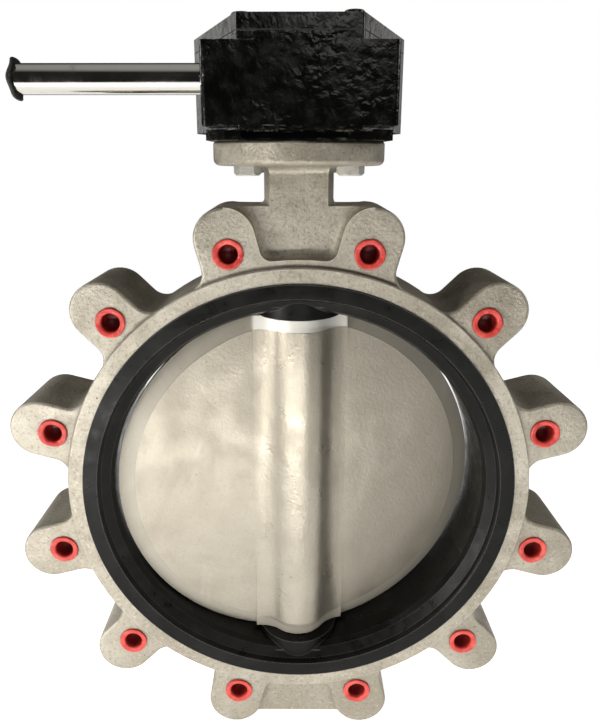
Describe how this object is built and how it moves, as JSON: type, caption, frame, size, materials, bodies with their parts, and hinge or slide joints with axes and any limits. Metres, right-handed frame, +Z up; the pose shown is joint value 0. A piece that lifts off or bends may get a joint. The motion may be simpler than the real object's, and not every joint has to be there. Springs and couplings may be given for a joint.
{
  "type": "butterfly valve",
  "caption": "Full-lug butterfly valve with a rubber-lined bore, a centre disc on two stems, and a worm gear operator that swings the disc a quarter turn.",
  "frame": {"origin": "valve centre: where the stem axis crosses the bore axis, midway between the two flange faces", "axes": "+Z up the stem to the gearbox; +Y along the bore from the front face to the back face; the input shaft points to -X"},
  "size_m": [0.4542, 0.1724, 0.5836],
  "materials": {
    "cast_stainless": "as cast and blasted, fine grain, satin",
    "disc_stainless": "as cast and blasted face with a turned rim",
    "liner_rubber": "satin moulded rubber",
    "red_plastic": "soft moulded plastic, slight sheen",
    "black_paint": "thick gloss paint over a rough casting",
    "polished_steel": "ground and polished",
    "cap_rubber": "matt rubber",
    "zinc_steel": "bright zinc plate",
    "spring_steel": "ground alloy steel, lightly oiled",
    "ductile_iron": "cast iron with cut teeth",
    "bronze": "turned bearing bronze",
    "seal_rubber": "moulded nitrile rubber",
    "indicator_plastic": "moulded plastic with a yellow pointer"
  },
  "bodies": {
    "valve": {"valve_body": "cast_stainless", "seat_liner": "liner_rubber", "upper_stem_bush": "bronze", "middle_stem_bush": "bronze", "lower_stem_bush": "bronze", "stem_seal": "seal_rubber", "bottom_gasket": "seal_rubber", "bottom_plug": "zinc_steel", "thread_protectors": "red_plastic", "flange_bolts": "zinc_steel", "gearbox_housing": "black_paint", "gearbox_cover": "black_paint", "cover_gasket": "seal_rubber", "cover_screws": "black_paint", "stop_screws": "zinc_steel", "stop_lock_nuts": "zinc_steel", "worm_bush_outer": "bronze", "worm_bush_inner": "bronze", "thrust_washers": "bronze", "shaft_seal": "seal_rubber", "seal_retainer": "black_paint", "worm_end_plug": "zinc_steel", "indicator_seal": "seal_rubber"},
    "disc": {"valve_disc": "disc_stainless", "upper_stem": "polished_steel", "lower_stem": "polished_steel", "stem_circlip": "spring_steel", "stem_key": "spring_steel", "worm_sector": "ductile_iron", "position_indicator": "indicator_plastic", "indicator_screw": "zinc_steel"},
    "input": {"input_shaft": "polished_steel", "worm": "spring_steel", "worm_pin": "spring_steel"},
    "end_cap": {"shaft_end_cap": "cap_rubber"}
  },
  "joints": [
    {"name": "disc_turn", "type": "hinge", "parent": "valve", "child": "disc", "pos_m": [0, 0, 0], "axis": [0, 0, 1], "range_deg": [-8.3, 81.7]},
    {"name": "input_turn", "type": "hinge", "parent": "valve", "child": "input", "pos_m": [0, -0.068, 0.31], "axis": [1, 0, 0], "range_deg": [-3278, 342]},
    {"name": "cap_slide", "type": "slide", "parent": "input", "child": "end_cap", "axis": [-1, 0, 0], "range_m": [0, 0.08]}
  ],
  "couplings": [
    {"joint": "input_turn", "follows": "disc_turn", "ratio": -40}
  ]
}
